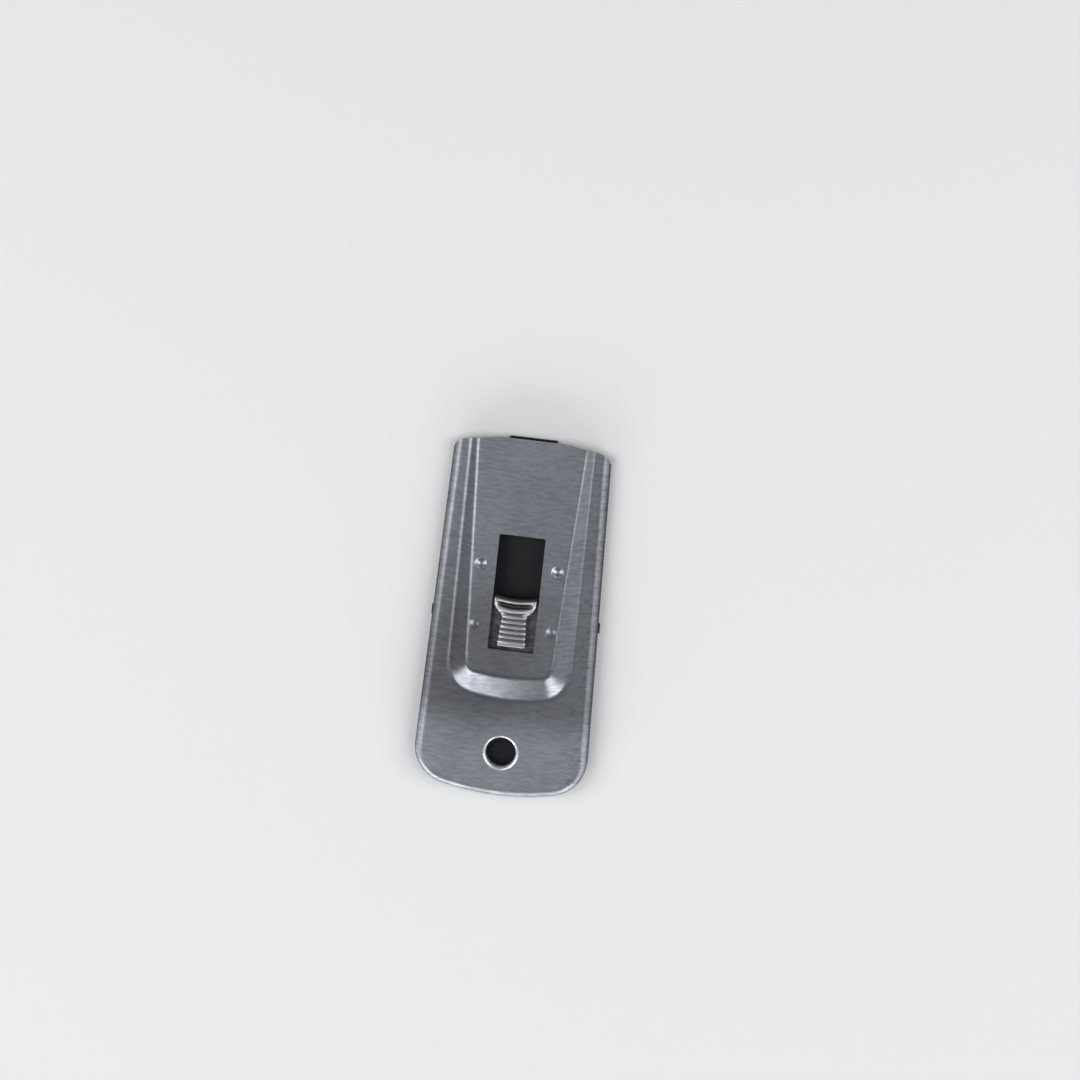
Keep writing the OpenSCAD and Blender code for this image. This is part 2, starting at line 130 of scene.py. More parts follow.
ceiling = bpy.data.worlds.new("ceiling")
ceiling.use_nodes = True
add, link = ceiling.node_tree.nodes.new, ceiling.node_tree.links.new
way = add("ShaderNodeTexCoord")
height = add("ShaderNodeSeparateXYZ")
link(way.outputs["Generated"], height.inputs["Vector"])
glow = ceiling.node_tree.nodes["Background"]
glow.inputs["Color"].default_value = (0.97, 0.985, 1, 1)
link(ranged(ceiling.node_tree, height.outputs["Z"], 0.0, 0.9, 0.14, 0.22), glow.inputs["Strength"])
scene.world = ceiling

# The top shell
# One sheet of bright steel, blanked and drawn in a press: a flat flange with rolled sides and rear, a raised
# wedge that grows towards the rear and ends in a crescent slope, a punched window, pressed dimples and a
# hanging hole with a turned-in lip. Its grain runs across.
mm = 0.001
# Sizes are in millimetres along the flange, which slopes up to the rear, measured back from the front edge.
length, front_wide, rear_wide, front_tall, rear_tall = 95, 40.2, 45, 3.2, 5.6
sheet, roll_r, front_arc, rear_arc, rear_corner, front_corner = 0.7, 2.1, 66, 68, 10, 1.8
notch_wide, notch_deep = 12.4, 0.3
wedge_wide, wedge_length, wedge_front, wedge_rear, wedge_slope = 31.6, 62.1, 1.35, 4.0, math.tan(math.radians(40))
wedge_end_arc, crescent_length, crescent_arc = 56, 6.8, 45
knee_foot, knee_drop, knee_soft, top_soft, foot_soft, dimple_soft = 5.2, 4.0, 5.0, 0.45, 0.5, 0.14
window_wide, window_front, window_rear, window_corner = 11.9, -25.1, -55.1, 0.5
hole_r, hole_back, lip_r, lip_wall = 3.9, -83.1, 0.8, 2.0
dimples = ((9.9, -33.4, 1.5, 0.48), (9.9, -49.2, 1.25, 0.25))
lug_back, lug_slot_long, lug_slot_tall = -48.2, 2.9, 0.85
flange_slope = math.atan((rear_tall - front_tall) / length)
front_y = length / 2


def on_flange(points):
    """Points given across, along the flange and up from its underside, as places in metres in the shared frame."""
    p = np.asarray(points, float)
    c, s = math.cos(flange_slope), math.sin(flange_slope)
    return mm * np.stack([p[:, 0], front_y + c * p[:, 1] + s * p[:, 2],
                          front_tall - sheet - s * p[:, 1] + c * p[:, 2]], 1)


def soft_min(a, b, soft):
    """The lower of two heights, with the crease between them bent round."""
    h = np.clip(0.5 + 0.5 * (b - a) / soft, 0, 1)
    return b + (a - b) * h - soft * h * (1 - h)


def shell_height(x, at):
    """Height of the shell's upper face above the flange's underside."""
    side = (wedge_wide / 2 - np.abs(x)) * wedge_slope
    top = wedge_front + (wedge_rear - wedge_front) * -at / wedge_length
    end_foot = -wedge_length - crescent_length + x * x / 2 / crescent_arc
    end_top = -wedge_length + x * x / 2 / wedge_end_arc
    crescent = wedge_rear * (at - end_foot) / (end_top - end_foot)
    knee = knee_foot - knee_drop * np.clip(soft_min(side, crescent, knee_soft) / top, 0, 1)
    rise = soft_min(soft_min(side, crescent, knee), top, top_soft)
    rise = -soft_min(-rise, np.zeros_like(rise), foot_soft)
    for dx, dat, r, h in dimples:
        cap = h * (1 - (np.square(np.abs(x) - dx) + np.square(at - dat)) / r / r)
        rise = rise - soft_min(-cap, np.zeros_like(cap), dimple_soft)
    return sheet + rise


def front_edge(x):
    """Where the front edge lies at a distance across, with its rounded corners."""
    x = np.abs(np.asarray(x, float))
    arc = np.sqrt(front_arc**2 - x * x) - math.sqrt(front_arc**2 - (notch_wide / 2) ** 2)
    into = np.clip(x - front_wide / 2 + front_corner, 0, front_corner)
    return arc - front_corner + np.sqrt(front_corner**2 - into**2)


rear_at = -(length - rear_tall * math.sin(flange_slope)) / math.cos(flange_slope)
corner_x = rear_wide / 2 - rear_corner
rear_arc_at = rear_at + rear_arc
corner_at = rear_arc_at - math.sqrt((rear_arc - rear_corner) ** 2 - corner_x**2)
rear_half = math.asin(corner_x / (rear_arc - rear_corner))
side_turn = math.asin(rear_corner / math.hypot(front_wide / 2 - corner_x, corner_at)) - math.atan2(
    front_wide / 2 - corner_x, -corner_at)
side_run = front_edge(front_wide / 2) - corner_at
slot_ends = [(lug_back + e * lug_slot_long / 2 + n - corner_at) / side_run for e in (-1, 1) for n in (-0.01, 0.01)]
side_steps = np.unique(np.concatenate([np.linspace(0, 1, 131), slot_ends]))


def outline(inset):
    """The outline drawn in by inset, from the front left round the rear to the front right, with its normals."""
    places, normals = [], []
    for a in np.linspace(0, rear_half, 25)[:-1]:
        n = np.array([math.sin(a), -math.cos(a)])
        places.append(np.array([0, rear_arc_at]) + (rear_arc - inset) * n)
        normals.append(n)
    for a in np.linspace(rear_half - math.pi / 2, side_turn, 25)[:-1]:
        n = np.array([math.cos(a), math.sin(a)])
        places.append(np.array([corner_x, corner_at]) + (rear_corner - inset) * n)
        normals.append(n)
    n = np.array([math.cos(side_turn), math.sin(side_turn)])
    start = np.array([corner_x, corner_at]) + (rear_corner - inset) * n
    end = start.copy()
    for _ in range(4):
        end[1] = front_edge(end[0])
        end[0] = start[0] - math.tan(side_turn) * (end[1] - start[1])
    for f in side_steps:
        places.append(start + f * (end - start))
        normals.append(n)
    right, right_n = np.array(places), np.array(normals)
    flip = np.array([-1, 1])
    return np.concatenate([right[:0:-1] * flip, right]), np.concatenate([right_n[:0:-1] * flip, right_n])


def inside(points, loop):
    """Which points lie inside a closed loop."""
    hit = np.zeros(len(points), bool)
    for p, q in zip(loop, np.roll(loop, -1, 0)):
        crosses = (p[1] > points[:, 1]) != (q[1] > points[:, 1])
        if crosses.any():
            x = p[0] + (points[:, 1] - p[1]) * (q[0] - p[0]) / (q[1] - p[1] if q[1] != p[1] else 1)
            hit ^= crosses & (points[:, 0] < x)
    return hit


def clear_of(points, others, gap):
    """The points that keep a gap from all the others."""
    near = np.array([np.min(np.sum((others - p) ** 2, 1)) for p in points])
    return points[near > gap**2]


def rounded_box(half_wide, rear, ahead, corner):
    """A rectangle with rounded corners, as a loop of points from its right front corner."""
    loop = []
    for sx, at, a0 in ((1, ahead - corner, 0), (-1, ahead - corner, 90),
                       (-1, rear + corner, 180), (1, rear + corner, 270)):
        loop += [(sx * (half_wide - corner) + corner * math.cos(a), at + corner * math.sin(a))
                 for a in np.radians(np.linspace(a0, a0 + 90, 6))]
    return np.array(loop)


# The edges of the flat face: the outline inside the roll with the notched front, the window and the hole.
edge = outline(roll_r)[0]
front_x = np.linspace(edge[-1][0], edge[0][0], 91)[1:-1]
front_x = front_x[np.abs(np.abs(front_x) - notch_wide / 2) > 0.15]
front = [(x, front_edge(x)) for x in front_x if x > notch_wide / 2]
front += [(notch_wide / 2, 0), (notch_wide / 2, -notch_deep)]
front += [(x, -notch_deep) for x in front_x if abs(x) < notch_wide / 2]
front += [(-notch_wide / 2, -notch_deep), (-notch_wide / 2, 0)]
front += [(x, front_edge(x)) for x in front_x if x < -notch_wide / 2]
rim_loop = np.concatenate([edge, np.array(front, float)])
corners = rounded_box(window_wide / 2, window_rear, window_front, window_corner)
window_loop = []
for p, q in zip(corners, np.roll(corners, -1, 0)):
    n = max(1, int(np.linalg.norm(q - p) / 0.6))
    window_loop += [p + (q - p) * i / n for i in range(n)]
window_loop = np.array(window_loop)
turn = np.linspace(0, 2 * math.pi, 73)[:-1]
hole_loop = np.stack([(hole_r + lip_r) * np.cos(turn), hole_back + (hole_r + lip_r) * np.sin(turn)], 1)
loops = [rim_loop, window_loop, hole_loop]
held = np.concatenate(loops)

# Points fill the face: close over the bends, the crescent and the dimples, wider on the flats.
bends = np.array([-0.9, -0.6, -0.4, -0.2, 0, 0.2, 0.4, 0.6, 0.9])
loop_gap, beside_gap, beside_clear = 0.62, 0.36, 0.3
filled = []
for at in np.arange(0, -60, -0.7):
    top_edge = wedge_wide / 2 - (wedge_front - at * (wedge_rear - wedge_front) / wedge_length) / wedge_slope
    foot = wedge_wide / 2
    xs = np.concatenate([np.arange(0, top_edge - 1, 0.9), top_edge + bends, foot + bends,
                         np.arange(top_edge + 1.3, foot - 1.2, 0.6), np.arange(foot + 1.3, 22, 0.8)])
    filled += [(x, at) for x in np.unique(np.concatenate([xs, -xs]))]
for at in np.arange(-60, -72.5, -0.28):
    filled += [(x, at) for x in np.arange(-21.6, 21.7, 0.4)]
for at in np.arange(-72.8, -length, -0.8):
    filled += [(x, at) for x in np.arange(-21.6, 21.7, 0.8)]
filled = np.array(filled)
for dx, dat, r, _ in dimples:
    filled = filled[np.hypot(np.abs(filled[:, 0]) - dx, filled[:, 1] - dat) > r + 0.5]
    for side in (-1, 1):
        ring = [(side * dx, dat)]
        for i, rr in enumerate(np.arange(0.16, 1.3, 0.1) * r):
            ring += [(side * dx + rr * math.cos(a), dat + rr * math.sin(a))
                     for a in np.linspace(0, 2 * math.pi, 33)[:-1] + 0.1 * (i % 2)]
        filled = np.concatenate([filled, ring])
filled = filled[inside(filled, rim_loop) & ~inside(filled, window_loop) & ~inside(filled, hole_loop)]
filled = clear_of(filled, held, loop_gap)
for loop, gap in ((rim_loop, -beside_gap), (window_loop, beside_gap), (hole_loop, beside_gap)):
    run = np.roll(loop, -1, 0) - np.roll(loop, 1, 0)
    run /= np.linalg.norm(run, axis=1, keepdims=True)
    beside = loop + gap * np.column_stack([run[:, 1], -run[:, 0]])
    beside = beside[inside(beside, rim_loop) & ~inside(beside, window_loop)]
    filled = np.concatenate([filled, clear_of(beside, held, beside_clear)])
plan = np.concatenate([held, filled])
ties, first = [], 0
for loop in loops:
    ties += [(first + i, first + (i + 1) % len(loop)) for i in range(len(loop))]
    first += len(loop)
flat, _, patches, came_from, _, _ = delaunay_2d_cdt([Vector(p) for p in plan], ties, [], 0, 1e-6)
flat = np.array([tuple(v) for v in flat])
now_at = {old: new for new, olds in enumerate(came_from) for old in olds}
patches = np.array(patches)
middles = flat[patches].mean(1)
corner_a, corner_b, corner_c = flat[patches].transpose(1, 0, 2)
area = np.abs((corner_b - corner_a)[:, 0] * (corner_c - corner_a)[:, 1]
              - (corner_b - corner_a)[:, 1] * (corner_c - corner_a)[:, 0])
on_sheet = inside(middles, rim_loop) & ~inside(middles, window_loop) & ~inside(middles, hole_loop)
patches = patches[on_sheet & (area > 1e-4)]

# The upper skin: the face pressed to its heights, then the rolled edge down to the table and the hole's lip.
step = 0.02
x, at = flat[:, 0], flat[:, 1]
slope_x = (shell_height(x + step, at) - shell_height(x - step, at)) / 2 / step
slope_at = (shell_height(x, at + step) - shell_height(x, at - step)) / 2 / step
skin = [np.column_stack([x, at, shell_height(x, at)])]
skin_n = [np.column_stack([-slope_x, -slope_at, np.ones_like(x)])]
faces = [tuple(f) for f in patches]


def add_band(before, places, normals, closed):
    """A row of quads from the last row of points to the next."""
    first = sum(len(points) for points in skin)
    row = list(range(first, first + len(places)))
    skin.append(places)
    skin_n.append(normals)
    for i in range(len(row) if closed else len(row) - 1):
        j = (i + 1) % len(row)
        faces.append((before[i], before[j], row[j], row[i]))
    return row


row = [now_at[i] for i in range(len(edge))]
for t in np.radians(np.linspace(0, 90, 10)[1:]):
    places, normals = outline(roll_r * (1 - math.sin(t)))
    rise = np.full((len(places), 1), sheet - roll_r * (1 - math.cos(t)))
    row = add_band(row, np.hstack([places, rise]),
                   np.hstack([normals * math.sin(t), np.full((len(places), 1), math.cos(t))]), False)
places, normals = outline(0)
table_at = -(front_tall - sheet - places[:, 1] * math.sin(flange_slope)) / math.cos(flange_slope)
in_slot = np.abs(places[:, 1] - lug_back) < lug_slot_long / 2
table_at = table_at + np.where(in_slot, lug_slot_tall, 0)
for f in (0.5, 1.0):
    rise = (sheet - roll_r) + f * (table_at - sheet + roll_r)
    row = add_band(row, np.column_stack([places, rise]), np.column_stack([normals, 0 * rise]), False)

row = [now_at[len(rim_loop) + len(window_loop) + i] for i in range(len(hole_loop))]
spoke = np.stack([np.cos(turn), np.sin(turn)], 1)
for t in np.radians(np.linspace(0, 90, 9)[1:]):
    places = np.array([0, hole_back]) + spoke * (hole_r + lip_r * (1 - math.sin(t)))
    rise = np.full((len(turn), 1), sheet - lip_r * (1 - math.cos(t)))
    row = add_band(row, np.hstack([places, rise]),
                   np.hstack([-spoke * math.sin(t), np.full((len(turn), 1), math.cos(t))]), True)
add_band(row, np.hstack([places, rise - lip_wall]), np.hstack([-spoke, 0 * rise]), True)

# The lower skin lies one sheet's thickness under the upper, and the cut edges join the two.
skin, skin_n = np.concatenate(skin), np.concatenate(skin_n)
skin_n /= np.linalg.norm(skin_n, axis=1, keepdims=True)
faced = []
for f in faces:
    a, b, c = skin[f[0]], skin[f[1]], skin[f[2]]
    faced.append(f if np.dot(np.cross(b - a, c - a), skin_n[f[0]] + skin_n[f[2]]) > 0 else f[::-1])
open_edges = {}
for f in faced:
    for i in range(len(f)):
        p, q = f[i], f[(i + 1) % len(f)]
        if (q, p) in open_edges:
            del open_edges[q, p]
        else:
            open_edges[p, q] = True
below = len(skin)
under = [tuple(i + below for i in f[::-1]) for f in faced]
cut_edges = [(q, p, p + below, q + below) for p, q in open_edges]
shell_mesh = bpy.data.meshes.new("shell")
shell_mesh.from_pydata(on_flange(np.concatenate([skin, skin - sheet * skin_n])), [], faced + under + cut_edges)
shell_mesh.shade_smooth()
shell_mesh.set_sharp_from_angle(angle=math.radians(42))
shell = put("shell", shell_mesh)


def noise(tree, at, scale, detail, rough=0.5):
    """Cloudy noise at a place."""
    node = tree.nodes.new("ShaderNodeTexNoise")
    for name, number in (("Scale", scale), ("Detail", detail), ("Roughness", rough)):
        node.inputs[name].default_value = number
    tree.links.new(at, node.inputs["Vector"])
    return node.outputs["Fac"]


def worked(tree, operation, *terms):
    """The result of an operation on values and numbers."""
    node = tree.nodes.new("ShaderNodeMath")
    node.operation = operation
    for socket, term in zip(node.inputs, terms):
        if isinstance(term, (int, float)):
            socket.default_value = term
        else:
            tree.links.new(term, socket)
    return node.outputs[0]


def shaded(tree, value, low, dark, high, light):
    """A colour that goes from dark to light as a value goes from low to high."""
    node = tree.nodes.new("ShaderNodeValToRGB")
    for end, position, colour in zip(node.color_ramp.elements, (low, high), (dark, light)):
        end.position = position
        end.color = (*colour, 1)
    tree.links.new(value, node.inputs["Fac"])
    return node.outputs["Color"]


def dimmed(tree, colour, share):
    """A colour made darker or brighter by a share."""
    node = tree.nodes.new("ShaderNodeVectorMath")
    node.operation = "SCALE"
    tree.links.new(colour, node.inputs[0])
    tree.links.new(share, node.inputs["Scale"])
    return node.outputs["Vector"]


def steel(name, dark, light, rough, grain):
    """Bright steel with a fine grain across the scraper and faint handling stains."""
    material = bpy.data.materials.new(name)
    material.use_nodes = True
    tree = material.node_tree
    add, link = tree.nodes.new, tree.links.new
    look = tree.nodes["Principled BSDF"]
    look.inputs["Metallic"].default_value = 1
    where = add("ShaderNodeTexCoord")
    streaks = add("ShaderNodeMapping")
    streaks.inputs["Scale"].default_value = (380, 1500, 130)
    link(where.outputs["Object"], streaks.inputs["Vector"])
    lines = noise(tree, streaks.outputs["Vector"], 1, 5, 0.6)
    stains = noise(tree, where.outputs["Object"], 110, 5)
    blend = worked(tree, "MULTIPLY_ADD", stains, 0.4, lines)
    link(shaded(tree, blend, 0.55, dark, 0.85, light), look.inputs["Base Color"])
    link(ranged(tree, blend, 0.5, 1.0, rough + 0.03, rough - 0.03), look.inputs["Roughness"])
    cut = add("ShaderNodeBump")
    cut.inputs["Strength"].default_value = grain
    cut.inputs["Distance"].default_value = 0.00004
    link(lines, cut.inputs["Height"])
    link(cut.outputs["Normal"], look.inputs["Normal"])
    return material


shell_steel = steel("shell_steel", (0.235, 0.246, 0.276), (0.354, 0.371, 0.41), 0.34, 0.05)
tree = shell_steel.node_tree
add, link = tree.nodes.new, tree.links.new
look = tree.nodes["Principled BSDF"]
where = add("ShaderNodeTexCoord")
across = add("ShaderNodeSeparateXYZ")
link(where.outputs["Object"], across.inputs["Vector"])
# Painted shade darkens it behind the middle. Painted light brightens its rear end, and a painted highlight brightens
# the hole's lip.
away = add("ShaderNodeVectorMath")
away.operation = "DISTANCE"
away.inputs[1].default_value = (-0.007, -0.012, 0.006)
link(where.outputs["Object"], away.inputs[0])
painted_shade_behind_middle = ranged(tree, away.outputs["Value"], 0.006, 0.033, 0.7, 1.0, smooth=True)
rear_painted_light = ranged(tree, across.outputs["Y"], -0.033, -0.0225, 1.68, 1.0, smooth=True)
from_hole = add("ShaderNodeVectorMath")
from_hole.operation = "DISTANCE"
from_hole.inputs[1].default_value = tuple(on_flange([(0, hole_back, sheet)])[0])
link(where.outputs["Object"], from_hole.inputs[0])
lip_painted_highlight = ranged(tree, from_hole.outputs["Value"], (hole_r + 0.4 * lip_r) * mm, (hole_r + 1.3 * lip_r) * mm,
                    1.9, 1.0, smooth=True)
# Its rolled wall is coloured darker as painted shade, and it is duller than its face.
above = add("ShaderNodeVectorMath")
above.operation = "DOT_PRODUCT"
above.inputs[1].default_value = (0, math.sin(flange_slope), math.cos(flange_slope))
link(where.outputs["Object"], above.inputs[0])
flange_above = mm * (math.sin(flange_slope) * front_y + math.cos(flange_slope) * (front_tall - sheet))
# Painted shade on the rolled wall.
wall = ranged(tree, above.outputs["Value"], flange_above - 0.7 * mm, flange_above + 0.3 * mm, 0.36, 1.0, smooth=True)
rolled = ranged(tree, above.outputs["Value"], flange_above + 0.2 * mm, flange_above + 0.7 * mm, 0.3, 0.0)
link(worked(tree, "ADD", look.inputs["Roughness"].links[0].from_socket, rolled), look.inputs["Roughness"])
# Its face is scuffed along the right side with small dark specks.
specks = noise(tree, where.outputs["Object"], 700, 6, 0.7)
scuffs = worked(tree, "MULTIPLY", ranged(tree, across.outputs["X"], 0.0155, 0.021, 0, 1),
                ranged(tree, specks, 0.54, 0.63, 0, 1))
on_top = ranged(tree, above.outputs["Value"], flange_above - 0.3 * mm, flange_above + 0.5 * mm, 0, -0.5)
unscuffed = worked(tree, "MULTIPLY_ADD", scuffs, on_top, 1)
# The colour takes the painted shade, painted light and painted highlight above, then the real scuffs.
worn_and_painted_light = look.inputs["Base Color"].links[0].from_socket
for share in (painted_shade_behind_middle, rear_painted_light, wall, lip_painted_highlight, unscuffed):
    worn_and_painted_light = dimmed(tree, worn_and_painted_light, share)
link(worn_and_painted_light, look.inputs["Base Color"])
shell_mesh.materials.append(shell_steel)
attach(shell, "housing")
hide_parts("top_shell")

# The bottom plate
# Flat sheet, painted satin black, let in flush with the shell's lower edge and held by its two side lugs.
# Its tongue shows in the notch of the mouth, with the paint rubbed at its tip.
black = bpy.data.materials.new("black_paint")
black.use_nodes = True
tree = black.node_tree
add, link = tree.nodes.new, tree.links.new
look = tree.nodes["Principled BSDF"]
look.inputs["Roughness"].default_value = 0.5
look.inputs["Specular IOR Level"].default_value = 0.35
where = add("ShaderNodeTexCoord")
along = add("ShaderNodeSeparateXYZ")
link(where.outputs["Object"], along.inputs["Vector"])
specks = noise(tree, where.outputs["Object"], 1500, 4)


def mixed(tree, share, first, second):
    """A colour that goes over from the first to the second as a share grows."""
    node = tree.nodes.new("ShaderNodeMix")
    node.data_type = "RGBA"
    node.inputs["B"].default_value = (*second, 1)
    tree.links.new(share, node.inputs["Factor"])
    tree.links.new(first, node.inputs["A"])
    return node.outputs["Result"]


def coat(node, material):
    """Gives a solid its finish."""
    nodes[node].data.materials.clear()
    nodes[node].data.materials.append(material)


paint = shaded(tree, specks, 0, (0.006, 0.0045, 0.008), 1, (0.017, 0.014, 0.021))
rubbed_and_painted_light = ranged(tree, along.outputs["Y"], (front_y - 0.6) * mm, (front_y - 0.1) * mm, 0, 1)
link(mixed(tree, rubbed_and_painted_light, paint, (0.045, 0.043, 0.05)), look.inputs["Base Color"])
orange_peel = add("ShaderNodeBump")
orange_peel.inputs["Strength"].default_value = 0.2
orange_peel.inputs["Distance"].default_value = 0.00003
link(specks, orange_peel.inputs["Height"])
link(orange_peel.outputs["Normal"], look.inputs["Normal"])
coat("bottom_plate", black)

# The blade carrier
# A dull pressed frame of sheet that slides under the wedge, folded down over the blade's spine at its front.
coat("blade_carrier", steel("carrier_steel", (0.2, 0.2, 0.21), (0.34, 0.34, 0.36), 0.45, 0.3))

# The leaf spring
# A strip of dull spring steel riveted to the carrier's rear bar. It ramps up to the thumb slide's underside
# and is drawn in one fixed shape.
spring_wide, spring_thick, spring_rear, ramp_from, ramp_to, spring_tip = 8.0, 0.4, -64.6, -55.1, -50.6, -47.6
strip_low, strip_high, strip_corner, strip_ease = 0.351, 1.272, 1.2, 0.1
run = np.arange(spring_rear, spring_tip + 0.01, 0.2)
lift = np.interp(run, [ramp_from, ramp_to], [strip_low, strip_high])
lift = np.convolve(np.pad(lift, 4, "edge"), np.ones(9) / 9, "valid")
from_end = np.clip(np.minimum(run - spring_rear, spring_tip - run) + 0.02, 0, strip_corner)
half_strip = spring_wide / 2 - strip_corner + np.sqrt(strip_corner**2 - (strip_corner - from_end) ** 2)
half_thick = spring_thick / 2
right_edge = [(strip_ease, half_thick), (0, half_thick - strip_ease), (0, strip_ease - half_thick),
              (strip_ease, -half_thick)]
section = [(-1, dx, dz) for dx, dz in right_edge[::-1]] + [(1, dx, dz) for dx, dz in right_edge]
strip_points = [(side * (w - dx), at, rise + dz)
                for at, rise, w in zip(run, lift, half_strip) for side, dx, dz in section]
strip_faces = [(8 * i + j, 8 * i + (j + 1) % 8, 8 * i + 8 + (j + 1) % 8, 8 * i + 8 + j)
               for i in range(len(run) - 1) for j in range(8)]
strip_faces += [tuple(range(7, -1, -1)), tuple(8 * (len(run) - 1) + j for j in range(8))]
strip_mesh = bpy.data.meshes.new("spring_strip")
strip_mesh.from_pydata(on_flange(strip_points), [], strip_faces)
strip_mesh.shade_smooth()
strip_mesh.set_sharp_from_angle(angle=math.radians(50))
strip_mesh.materials.append(steel("spring_steel", (0.19, 0.19, 0.205), (0.32, 0.32, 0.345), 0.42, 0.1))
spring_strip = put("spring_strip", strip_mesh)
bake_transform(spring_strip)
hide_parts("leaf_spring")

# The rivets
# Two small round-headed rivets, set cold through the spring and the carrier's rear bar.
rivet_span, rivet_at, head_r, head_tall, rivet_grip = 4.6, -59.85, 1.5, 0.5, 1.0


def new_tree(name, kinds):
    """A node tree with named sizes: the tree, the sizes' identifiers and the node that holds them."""
    tree = bpy.data.node_groups.new(name, "GeometryNodeTree")
    tree.interface.new_socket("Geometry", in_out="OUTPUT", socket_type="NodeSocketGeometry")
    sockets = {size: tree.interface.new_socket(size, in_out="INPUT", socket_type="NodeSocket" + kind).identifier
               for size, kind in kinds.items()}
    return tree, sockets, tree.nodes.new("NodeGroupInput")


def dress_instances(tree, instances, finish):
    """Ends a node tree: its instances made real, shaded smooth and given their finish."""
    add, link = tree.nodes.new, tree.links.new
    real = add("GeometryNodeRealizeInstances")
    link(instances, real.inputs["Geometry"])
    smooth = add("GeometryNodeSetShadeSmooth")
    link(real.outputs["Geometry"], smooth.inputs["Geometry"])
    dressed = add("GeometryNodeSetMaterial")
    link(smooth.outputs["Geometry"], dressed.inputs["Geometry"])
    link(finish, dressed.inputs["Material"])
    link(dressed.outputs["Geometry"], add("NodeGroupOutput").inputs["Geometry"])


def make_piece(name, tree, sockets, sizes):
    """The piece that a node tree makes at the given sizes."""
    holder = put(name + "_holder", bpy.data.meshes.new(name + "_holder"))
    maker = holder.modifiers.new(name, "NODES")
    maker.node_group = tree
    for size, value in sizes.items():
        maker[sockets[size]] = value
    mesh = bpy.data.meshes.new_from_object(holder.evaluated_get(bpy.context.evaluated_depsgraph_get()))
    bpy.data.objects.remove(holder)
    return put(name, mesh)


rivet_tree, rivet_sockets, sizes = new_tree("rivet_pair", {
    "First Rivet": "Vector", "Spacing": "Vector", "Head Radius": "Float", "Head Shape": "Vector",
    "Lower Head": "Vector", "Tilt": "Vector", "Finish": "Material"})
add, link = rivet_tree.nodes.new, rivet_tree.links.new
pair = add("GeometryNodeMeshLine")
pair.inputs["Count"].default_value = 2
link(sizes.outputs["First Rivet"], pair.inputs["Start Location"])
link(sizes.outputs["Spacing"], pair.inputs["Offset"])
ball = add("GeometryNodeMeshUVSphere")
ball.inputs["Segments"].default_value = 32
ball.inputs["Rings"].default_value = 16
link(sizes.outputs["Head Radius"], ball.inputs["Radius"])
head = add("GeometryNodeTransform")
link(ball.outputs["Mesh"], head.inputs["Geometry"])
link(sizes.outputs["Head Shape"], head.inputs["Scale"])
lower_head = add("GeometryNodeTransform")
link(head.outputs["Geometry"], lower_head.inputs["Geometry"])
link(sizes.outputs["Lower Head"], lower_head.inputs["Translation"])
both_heads = add("GeometryNodeJoinGeometry")
link(head.outputs["Geometry"], both_heads.inputs["Geometry"])
link(lower_head.outputs["Geometry"], both_heads.inputs["Geometry"])
set_in = add("GeometryNodeInstanceOnPoints")
link(pair.outputs["Mesh"], set_in.inputs["Points"])
link(both_heads.outputs["Geometry"], set_in.inputs["Instance"])
link(sizes.outputs["Tilt"], set_in.inputs["Rotation"])
dress_instances(rivet_tree, set_in.outputs["Instances"], sizes.outputs["Finish"])

rivet_steel = steel("rivet_steel", (0.42, 0.42, 0.44), (0.6, 0.6, 0.62), 0.35, 0.05)
rivet_high = strip_low + half_thick
rivet_ends = on_flange([(-rivet_span / 2, rivet_at, rivet_high), (rivet_span / 2, rivet_at, rivet_high)])
rivets = make_piece("round_rivets", rivet_tree, rivet_sockets, {
    "First Rivet": tuple(rivet_ends[0]), "Spacing": tuple(rivet_ends[1] - rivet_ends[0]), "Head Radius": head_r * mm,
    "Head Shape": (1, 1, head_tall / head_r), "Lower Head": (0, 0, -rivet_grip * mm), "Tilt": (-flange_slope, 0, 0),
    "Finish": rivet_steel})
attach(rivets, "carrier")
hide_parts("spring_rivets")

# The blade's spine
# A strip of bright sheet folded over the blade's back edge and pressed tight.
coat("blade_spine", rivet_steel)

# The razor blade
# A single-edge blade of satin strip steel under a thin film of oil, ground bright to its edge along the front.
blade_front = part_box("razor_blade")[1][1]
blade_steel = bpy.data.materials.new("blade_steel")
blade_steel.use_nodes = True
tree = blade_steel.node_tree
add, link = tree.nodes.new, tree.links.new
look = tree.nodes["Principled BSDF"]
look.inputs["Metallic"].default_value = 1
look.inputs["Roughness"].default_value = 0.42
where = add("ShaderNodeTexCoord")
along = add("ShaderNodeSeparateXYZ")
link(where.outputs["Object"], along.inputs["Vector"])
oil = noise(tree, where.outputs["Object"], 90, 1)
film = shaded(tree, oil, 0.3, (0.43, 0.44, 0.46), 0.7, (0.5, 0.51, 0.53))
ground = ranged(tree, along.outputs["Y"], blade_front - 1.22 * mm, blade_front - 1.14 * mm, 0, 1)
link(mixed(tree, ground, film, (0.74, 0.75, 0.77)), look.inputs["Base Color"])
coat("razor_blade", blade_steel)

# The thumb slide
# A bright pressing that stands up through the window: a hollowed front rim, a groove, a crest whose shoulders
# draw in, and a ribbed tongue, with painted highlights and painted shade on it. Wings under the wedge, coloured dark as
# painted shade, carry it, with tabs down into the carrier.
thumb_long, thumb_wide, tongue_wide, tongue_rear_wide, thumb_hollow = 13.0, 10.9, 6.65, 7.5, 21.0
thumb_at, pad_rise, wing_top, wing_low = -47.6, 4.381, 2.172, 1.572
neck_from, neck_to, tongue_end, rounding = 2.1, 4.5, 12.4, 0.6
groove_at, groove_wide, groove_deep, groove_reach = 1.35, 0.62, 0.85, 5.1
shoulder_at, shoulder_long, shoulder_tall = 3.9, 0.75, 0.4
pad_foot = wing_top - 0.1
wedge_pitch = math.atan((wedge_rear - wedge_front) / wedge_length)


